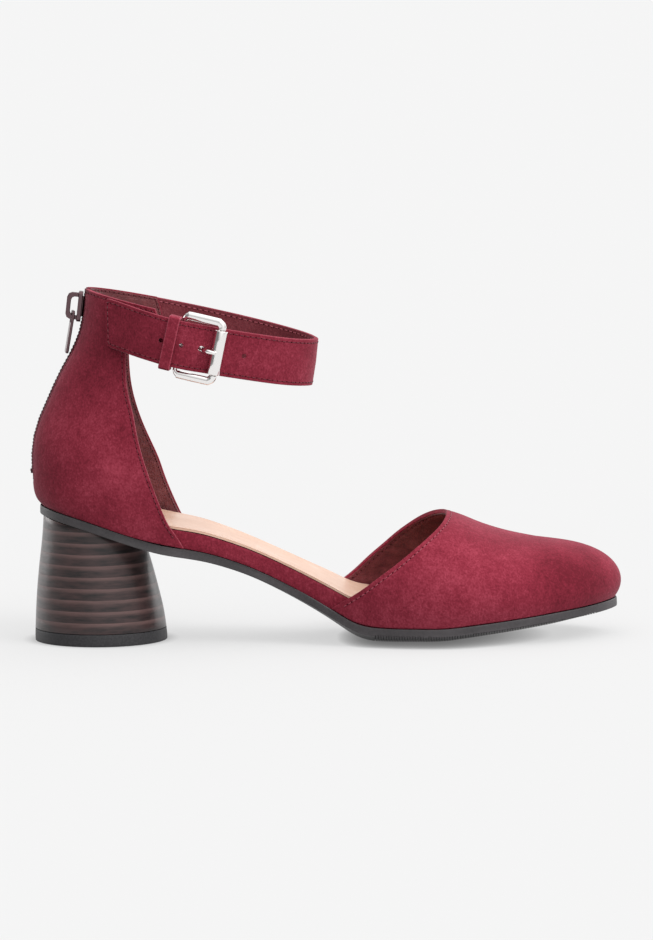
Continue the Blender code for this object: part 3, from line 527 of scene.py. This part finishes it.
# dark beads at the stitch ends: painted shade for the needle holes
needle_hole_shade, shader, place = finish("needle_hole_shade", {"Specular IOR Level": 0.1})
fuzz = place.noise(HOLE_FUZZ, 2, 0.6)
feed(shader, Base_Color=fuzz.ramp((0.3, HOLE_SHADE_DARK), (0.7, HOLE_SHADE_PALE)), Roughness=0.8 + fuzz * 0.2)


def bead(name, size, slot):
    """A small rounded bead with these half sizes, as a mesh to repeat."""
    bm = bmesh.new()
    shape = Matrix.Diagonal((*size, 1))
    bmesh.ops.create_uvsphere(bm, u_segments=BEAD_SIDES, v_segments=BEAD_ROWS, radius=1, matrix=shape)
    for face in bm.faces:
        face.material_index = slot
    mesh = bpy.data.meshes.new(name)
    bm.to_mesh(mesh)
    bm.free()
    return mesh


stitch = bead("stitch", (THREAD_R, THREAD_R, STITCH_HALF), 0)
needle_shade_mark = bead("needle_shade_mark", (HOLE_R, HOLE_R * HOLE_FLAT, HOLE_R), 1)


def sew(name, shell, seams, thread, lining=LINING_LIFT + LINING_THICK):
    """A row of stitches along each seam with dark beads between them, painted shade for the needle holes;
    inner rows lie on the lining.
    """
    surface = BVHTree.FromBMesh(shell)
    bm = bmesh.new()
    for side, runs in seams.items():
        for run in runs:
            steps = np.linalg.norm(np.diff(run, axis=0), axis=1)
            reach = np.concatenate(([0], np.cumsum(steps)))
            count = 2 * round(reach[-1] / STITCH)
            stops = np.linspace(0, reach[-1], count + 1)
            line = np.stack([np.interp(stops, reach, run[:, axis]) for axis in range(3)], axis=1)
            for k in range(1, count):
                spot, normal, _, _ = surface.find_nearest(line[k])
                along = Vector(line[k + 1] - line[k - 1])
                along = (along - normal * along.dot(normal)).normalized()
                turn = Matrix((normal.cross(along), -normal, along)).transposed().to_4x4()
                place = Matrix.Translation(spot + normal * lining * side) @ turn
                pattern = needle_shade_mark if k % 2 == 0 else stitch
                pattern.transform(place)
                bm.from_mesh(pattern)
                pattern.transform(place.inverted())
    piece(name, bm, [thread, needle_hole_shade])


# the outer stitches are drawn in rose thread as a painted highlight
sew("vamp_stitches", vamp, {OUTER: vamp_seams[OUTER]}, rose_and_highlight_thread)
sew("vamp_inner_stitches", vamp, {INNER: vamp_seams[INNER]}, wine_thread)

# Quarter
# The high heel counter: suede over a stiffener, slit down the back for the zip, two ears under the strap.
# It is lined and stitched as the vamp is, along its collar, its front edges and both sides of the zip.
COLLAR_INSET = 1.25 * MM
COLLAR_RIM = 0.5 * MM
QUARTER_HOLLOWS = (
    # from, to, half width, depth; all in millimetres
    ((-84, -30, 78), (-80, -29, 108), 7.0, 0.40),
    ((-110, -22, 62), (-92, -31, 66), 8.0, -0.35),
    ((-84, 30, 78), (-80, 29, 108), 7.0, 0.40),
    ((-112, -16, 96), (-96, -28, 104), 9.0, 0.35),
    ((-112, 16, 96), (-96, 28, 104), 9.0, 0.35),
)

quarter = formed("quarter", SHELL_LEVELS)
press(quarter, QUARTER_HOLLOWS)
quarter_seams = {side: seam_runs(quarter, side, off_the_sole, COLLAR_INSET) for side in (OUTER, INNER)}
pucker(quarter, quarter_seams[OUTER] + quarter_seams[INNER])
line_inside(quarter, "quarter_lining", COLLAR_RIM)
sew("quarter_stitches", quarter, quarter_seams, wine_thread)
ease(quarter, FOLD, slot=1)
piece("quarter_suede", quarter, [suede, suede_edge_highlight], node="quarter")

# Ankle strap
# Suede over a dusty rose suede lining, stitched along both edges, with five punched holes.
# It is sewn to the inner ear, runs through buckle and keeper, and ends square with rounded corners.
STRAP_EASE = 0.3 * MM
STRAP_INSET = 1.3 * MM
ROSE = (0.205, 0.040, 0.052)
ROSE_DARK = (0.140, 0.024, 0.033)
ROSE_PALE = (0.290, 0.078, 0.092)
strap_inside = nap("strap_inside", ROSE_DARK, ROSE, ROSE_PALE)


def everywhere(_):
    """Says yes to any point."""
    return True


strap = merged("ankle_strap")
strap_seams = {side: seam_runs(strap, side, everywhere, STRAP_INSET) for side in (OUTER, INNER)}
sew("strap_stitches", strap, {OUTER: strap_seams[OUTER]}, wine_thread, 0)
sew("strap_inner_stitches", strap, {INNER: strap_seams[INNER]}, rose_and_highlight_thread, 0)
for face in sides(strap)[INNER]:
    face.material_index = 2
ease(strap, STRAP_EASE, slot=1)
piece("ankle_strap_suede", strap, [suede, suede_edge_highlight, strap_inside], node="ankle_strap", flat=True)

# Buckle tab and keeper loop
# A suede tab, sewn to the outer ear, wraps the buckle's back bar.
# A narrow suede loop beside it keeps the strap's tail down.
TAB_EASE = 0.25 * MM
KEEPER_EASE = 0.4 * MM
for node, name, width in (("buckle_tab", "buckle_tab_suede", TAB_EASE),
                          ("keeper_loop", "keeper_suede", KEEPER_EASE)):
    bm = merged(node)
    ease(bm, width, slot=1)
    piece(name, bm, [suede, suede_edge_highlight], node=node, flat=True)

# Buckle
# A cast zinc frame with a turned roller on its front bar and a wire prong on its back bar.
# All three are silver plated and polished; the strap is fastened through them.
SILVER = (0.90, 0.88, 0.87)
SILVER_SMEAR = 240
BUCKLE_EASE = 0.25 * MM
silver, shader, place = finish("silver_plate", {"Metallic": 1.0, "Base Color": (*SILVER, 1)})
smear = place.noise(SILVER_SMEAR, 3, 0.6)
feed(shader, Roughness=0.06 + smear * 0.12)

for node, name in (("buckle_frame", "buckle_frame_plate"), ("buckle_roller", "buckle_roller_plate"),
                   ("buckle_prong", "buckle_prong_plate")):
    bm = formed(node)
    ease(bm, BUCKLE_EASE)
    piece(name, bm, [silver], node=node)

# Zip tape and teeth
# Woven wine-black tape sewn behind the slit, its edges and foot tucked into the walls of the slit.
# Two interlocked rows of moulded teeth run down its middle.
ZIP_DARK = (0.030, 0.007, 0.011)
ZIP_PALE = (0.105, 0.020, 0.032)
TOOTH = (2.0 * MM, 1.0 * MM, 0.9 * MM)
TOOTH_EASE = 0.22 * MM
TOOTH_PITCH = 1.45 * MM
TOOTH_SIDE = 0.30 * MM
TOOTH_SINK = 0.22 * MM
TAPE_FLAT = 2.2 * MM
TAPE_TUCK = 1.2 * MM
TAPE_WEAVE = 260
TAPE_RELIEF = 0.1 * MM
RESIN_SPECK = 800
ZIP_LOW = 66 * MM
ZIP_HIGH = 147 * MM

zip_cloth, shader, place = finish("zip_cloth", {"Specular IOR Level": 0.3})
weave = place.node("TexWave", {"bands_direction": "Z"}, {"Vector": place, "Scale": TAPE_WEAVE})
feed(shader, Base_Color=weave.mix((*ZIP_DARK, 1), (*ZIP_PALE, 1)), Roughness=0.6 + weave * 0.2,
     Normal=relief(weave, TAPE_RELIEF))
bm = merged("zip_tape")
tape_surface = BVHTree.FromBMesh(bm)
tape_middle = sum(c.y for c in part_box("zip_tape")) / 2
tape_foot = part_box("zip_tape")[0].z
for v in bm.verts:
    if abs(v.co.y - tape_middle) > TAPE_FLAT:
        v.co.y += math.copysign(TAPE_TUCK, v.co.y - tape_middle)
        if v.co.z < tape_foot + TAPE_TUCK:
            v.co.z -= TAPE_TUCK
piece("zip_tape_cloth", bm, [zip_cloth], node="zip_tape")

zip_resin, shader, place = finish("zip_resin", {"Specular IOR Level": 0.5})
speck = place.noise(RESIN_SPECK, 2, 0.6)
feed(shader, Base_Color=speck.ramp((0.35, ZIP_DARK), (0.7, ZIP_PALE)), Roughness=0.30 + speck * 0.2)


def on_tape(height):
    """A seat on the tape's middle at that height, turned to lie on it; none where there is no tape."""
    spot, normal, _, _ = tape_surface.ray_cast(Vector((-1, tape_middle, height)), Vector((1, 0, 0)))
    if spot is None:
        return None
    across = Vector((0, 1, 0))
    turn = Matrix((across, normal.cross(across).normalized(), normal)).transposed().to_4x4()
    return Matrix.Translation(spot) @ turn


bm = bmesh.new()
seats = [on_tape(height) for height in np.arange(ZIP_LOW, ZIP_HIGH, TOOTH_PITCH)]
for k, seat in enumerate([seat for seat in seats if seat is not None]):
    aside = TOOTH_SIDE if k % 2 == 0 else -TOOTH_SIDE
    place = seat @ Matrix.Translation((aside, 0, -TOOTH_SINK))
    bmesh.ops.create_cube(bm, size=1, matrix=place @ Matrix.Diagonal((*TOOTH, 1)))
bmesh.ops.recalc_face_normals(bm, faces=bm.faces)
bmesh.ops.bevel(bm, geom=bm.edges, offset=TOOTH_EASE, offset_type="OFFSET", affect="EDGES", segments=1,
                profile=0.5, material=-1, clamp_overlap=True)
piece("zip_teeth", bm, [zip_resin])

# Zip slider and pull
# A small cast slider at the top of the zip, whose channel sits on the teeth, with a bar of a pull.
# Both have a dark nickel plating; the pull is hinged on the slider's bridge and hangs free.
NICKEL = (0.130, 0.080, 0.088)
NICKEL_SMEAR = 300
SLIDER_EASE = 0.5 * MM
CHANNEL = (3.6 * MM, 8.5 * MM, 1.8 * MM)
CHANNEL_SINK = 0.3 * MM
PULL_EASE = 0.3 * MM
nickel, shader, place = finish("dark_nickel", {"Metallic": 1.0, "Base Color": (*NICKEL, 1)})
smear = place.noise(NICKEL_SMEAR, 3, 0.6)
feed(shader, Roughness=0.14 + smear * 0.2)
bm = merged("zip_slider")
ease(bm, SLIDER_EASE, segments=3)
seat = on_tape(sum(c.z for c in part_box("zip_slider")) / 2)
place = seat @ Matrix.Translation((0, 0, CHANNEL[2] / 2 - CHANNEL_SINK))
bmesh.ops.create_cube(bm, size=1, matrix=place @ Matrix.Diagonal((*CHANNEL, 1)))
piece("zip_slider_plate", bm, [nickel], node="zip_slider", flat=True)
bm = merged("zip_pull")
ease(bm, PULL_EASE)
piece("zip_pull_plate", bm, [nickel], body="zip_pull", node="zip_pull", flat=True)

# Outsole
# Thin moulded black rubber sole, cemented on; its edge is a little dull.
# Fine ribs run across the forefoot's underside, and their ends notch its lower edge.
RUBBER_DARK = (0.034, 0.030, 0.032)
RUBBER_PALE = (0.078, 0.069, 0.074)
TREAD_FROM = 20 * MM
TREAD_TO = 113 * MM
TREAD_PITCH = 1.1 * MM
TREAD_SLOT = 0.40 * MM
TREAD_DEEP = 0.5 * MM
TREAD_REACH = 6 * MM
TREAD_WIDTHS = range(-45, 46, 3)
RUBBER_SPECK = 900
RUBBER_HAZE = 70
RUBBER_RELIEF = 0.05 * MM
SOLE_EASE = 0.2 * MM
rubber, shader, place = finish("sole_rubber", {"Specular IOR Level": 0.45})
speck = place.noise(RUBBER_SPECK, 3, 0.65)
haze = place.noise(RUBBER_HAZE, 3, 0.5)
feed(shader, Base_Color=(haze * 0.6 + speck * 0.4).ramp((0.35, RUBBER_DARK), (0.7, RUBBER_PALE)),
     Roughness=0.42 + speck * 0.2, Normal=relief(speck, RUBBER_RELIEF))


def flat_on_floor(bm):
    """Presses what rounding has pushed below the floor back up to it."""
    for v in bm.verts:
        v.co.z = max(v.co.z, 0)
    bm.normal_update()


bm = formed("outsole")
ease(bm, SOLE_EASE)
flat_on_floor(bm)
under = BVHTree.FromBMesh(bm)
outsole = piece("outsole_rubber", bm, [rubber], node="outsole")

ribs = bmesh.new()
upward = Vector((0, 0, 1))
for x in np.arange(TREAD_FROM, TREAD_TO, TREAD_PITCH):
    line = [under.ray_cast(Vector((x, y * MM, -1)), upward)[0] for y in TREAD_WIDTHS]
    line = [p for p in line if p]
    for end, inner in ((0, 1), (-1, -2)):
        line[end] = line[end] + (line[end] - line[inner]).normalized() * TREAD_REACH
    roof = [p + upward * TREAD_DEEP for p in line]
    base = [p - upward * TREAD_REACH for p in reversed(line)]
    wall = ribs.faces.new([ribs.verts.new(p) for p in roof + base])
    grown = bmesh.ops.extrude_face_region(ribs, geom=[wall])["geom"]
    moved = [v for v in grown if isinstance(v, bmesh.types.BMVert)]
    bmesh.ops.translate(ribs, verts=moved, vec=Vector((TREAD_SLOT, 0, 0)))
bmesh.ops.recalc_face_normals(ribs, faces=ribs.faces)
mesh = bpy.data.meshes.new("tread_slots")
ribs.to_mesh(mesh)
ribs.free()
slots = bpy.data.objects.new("tread_slots", mesh)
bpy.context.collection.objects.link(slots)
tread = outsole.modifiers.new("tread", "BOOLEAN")
tread.object = slots
tread.solver = "EXACT"
bpy.context.view_layer.update()
mesh = bpy.data.meshes.new_from_object(outsole.evaluated_get(bpy.context.evaluated_depsgraph_get()))
outsole.modifiers.clear()
outsole.data = mesh
outsole.data.set_sharp_from_angle(angle=SHARP)
bpy.data.objects.remove(slots)

# Heel
# A flared round block finished as stacked leather: dark lacquered layers with paler lines between them.
# Each line is crisp above and fades downward; the block is nailed on from inside, under the sock.
LAYER = 4.76 * MM
FIRST_LINE = 10.05 * MM
LAYERS_COUNTED = 40
LINE_CRISP = 0.07
LINE_FADE = 0.55
LINE_WANDER = 0.5 * MM
LINE_LEAST = 0.30
LINE_STREAKED = 0.75
STACK_STREAKS = 90
STREAKS_LIE = (1, 1, 14)
STACK_BLOTCHES = 110
BLOTCHES_LIE = (1, 1, 4.5)
STACK_WAVES = 45
STACK_RELIEF = 0.05 * MM
HEEL_EASE = 0.4 * MM
STACK_DARK = (0.0075, 0.0050, 0.0052)
STACK_MID = (0.054, 0.0275, 0.0270)
STACK_LINE = (0.190, 0.105, 0.098)
stack, shader, place = finish("stacked_leather", {"Specular IOR Level": 0.38, "Coat Roughness": 0.18,
                                                  "Coat Weight": 0.22})
height = place.node("SeparateXYZ", {}, {"Vector": place}, "Z")
streak = place.noise(STACK_STREAKS, 4, 0.65, STREAKS_LIE)
blotch = place.noise(STACK_BLOTCHES, 3, 0.55, BLOTCHES_LIE)
wander = place.noise(STACK_WAVES, 2, 0.5)
# the level counts layers downward, so that each line begins at a whole number
level = LAYERS_COUNTED - (height + (wander - 0.5) * LINE_WANDER - FIRST_LINE) / LAYER
below = level.math("FRACT", level)
line = below.between(0.0, LINE_CRISP) * (1 - below.between(LINE_CRISP, LINE_FADE))
layers = (streak * 0.35 + blotch * 0.65).ramp((0.36, STACK_DARK), (0.60, STACK_MID))
paint = (line * (LINE_LEAST + streak * LINE_STREAKED)).mix(layers, (*STACK_LINE, 1))
feed(shader, Base_Color=paint, Roughness=0.28 + streak * 0.18,
     Normal=relief(streak - line * 0.6, STACK_RELIEF))
bm = formed("heel_block")
ease(bm, HEEL_EASE)
piece("heel_stack", bm, [stack], node="heel_block")

# Heel top piece
# A thin lift of matt black rubber that takes the wear of the floor.
# It is nailed and glued under the heel.
TIP_DARK = (0.022, 0.021, 0.023)
TIP_PALE = (0.046, 0.044, 0.048)
TIP_SPECK = 1300
TIP_EASE = 0.3 * MM
tip_rubber, shader, place = finish("tip_rubber", {"Specular IOR Level": 0.4})
speck = place.noise(TIP_SPECK, 3, 0.6)
feed(shader, Base_Color=speck.ramp((0.35, TIP_DARK), (0.7, TIP_PALE)),
     Roughness=0.5 + speck * 0.2, Normal=relief(speck, RUBBER_RELIEF))
bm = formed("heel_tip")
ease(bm, TIP_EASE)
flat_on_floor(bm)
piece("heel_lift", bm, [tip_rubber], node="heel_tip")

# Studio
# A pale glowing floor that runs out of sight in a bright room, brightest above and to the right; near the
# shoe its glow is darkened as a painted contact shadow.
# One broad soft key stands above to the right, and two tall panels behind show in gloss alone.
# The camera has the photograph's long lens.
EYE = Vector((0.0003, -2.9793, 0.4180))
AIM = Vector((0.0003, 0.0005, 0.0706))
TILT = math.radians(-0.5)
LENS = 272.9
SIGHT = 100.0
FLOOR_HALF = 30.0
FLOOR_CLEAR = 0.05 * MM
FLOOR_ALBEDO = 0.25
FLOOR_GLOW = 0.596
FLOOR_TOTAL = 0.913
# reach and depth of the painted contact shadow in the floor's glow
CONTACT = 6 * MM
CONTACT_SHADOW_DEEP = 0.25
CONTACT_SAMPLES = 16
ROOM = 0.80
ROOM_SLOPE = 0.90
ROOM_SIDES = 0.9
ROOM_LEAST = 0.20
ROOM_BRIGHT = Vector((0.60, -0.08, 0.80))
KEY_FROM = Vector((0.60, -0.38, 0.70))
KEY_ENERGY = 0.9
KEY_SOFT = math.radians(30)
PANEL_WIDE = 1.2
PANEL_TALL = 1.6
PANELS = (
    # name, place in metres, energy
    ("right_panel", Vector((1.6, 1.5, 0.25)), 8.5),
    ("left_panel", Vector((-1.75, 1.3, 0.25)), 20.0),
)

bm = bmesh.new()
bmesh.ops.create_grid(bm, x_segments=1, y_segments=1, size=FLOOR_HALF,
                      matrix=Matrix.Translation((0, 0, -FLOOR_CLEAR)))
mesh = bpy.data.meshes.new("floor")
bm.to_mesh(mesh)
bm.free()
floor = bpy.data.objects.new("floor", mesh)
bpy.context.collection.objects.link(floor)
floor_paint, shader, place = finish("floor_paint", {"Roughness": 0.9, "Specular IOR Level": 0.0,
                                                    "Base Color": (*(FLOOR_ALBEDO,) * 3, 1),
                                                    "Emission Strength": FLOOR_GLOW})
# painted contact shadow: the floor's glow is darkened where the shoe closes over it
open_sky = place.node("AmbientOcclusion", {"samples": CONTACT_SAMPLES}, {"Distance": CONTACT}, "AO")
feed(shader, Emission_Color=open_sky.mix((*(CONTACT_SHADOW_DEEP,) * 3, 1), (1, 1, 1, 1)))
mesh.materials.append(floor_paint)
floor.visible_diffuse = False

key = bpy.data.lights.new("key", "SUN")
key.energy = KEY_ENERGY
key.angle = KEY_SOFT
key_lamp = bpy.data.objects.new("key", key)
key_lamp.rotation_mode = "QUATERNION"
key_lamp.rotation_quaternion = (-KEY_FROM).to_track_quat("-Z", "Y")
bpy.context.collection.objects.link(key_lamp)

for name, place, energy in PANELS:
    panel = bpy.data.lights.new(name, "AREA")
    panel.energy = energy
    panel.shape = "RECTANGLE"
    panel.size = PANEL_WIDE
    panel.size_y = PANEL_TALL
    stand = bpy.data.objects.new(name, panel)
    stand.location = place
    stand.rotation_mode = "QUATERNION"
    stand.rotation_quaternion = (AIM - place).to_track_quat("-Z", "Y")
    stand.visible_diffuse = False
    bpy.context.collection.objects.link(stand)

world = bpy.data.worlds.new("studio")
world.use_nodes = True
sky = Wire(world.node_tree)
ray = sky.node("TexCoord", out="Generated")
slope = sky.node("VectorMath", {"operation": "DOT_PRODUCT"}, {0: ray, 1: ROOM_BRIGHT}, "Value")
side = sky.node("SeparateXYZ", {}, {"Vector": ray}, "X")
room = slope.math("MAXIMUM", ROOM + slope * ROOM_SLOPE - side * side * ROOM_SIDES, ROOM_LEAST)
seen = sky.node("LightPath", out="Is Camera Ray")
backdrop = seen.mix(room, (*(FLOOR_TOTAL,) * 3, 1))
background = world.node_tree.nodes["Background"]
world.node_tree.links.new(backdrop.socket, background.inputs["Color"])
bpy.context.scene.world = world

lens = bpy.data.cameras.new("camera")
lens.lens = LENS
lens.clip_end = SIGHT
camera = bpy.data.objects.new("camera", lens)
camera.location = EYE
camera.rotation_mode = "QUATERNION"
camera.rotation_quaternion = (AIM - EYE).to_track_quat("-Z", "Y") @ Quaternion((0, 0, 1), TILT)
bpy.context.collection.objects.link(camera)
bpy.context.scene.camera = camera
bpy.context.scene.view_settings.view_transform = "Standard"
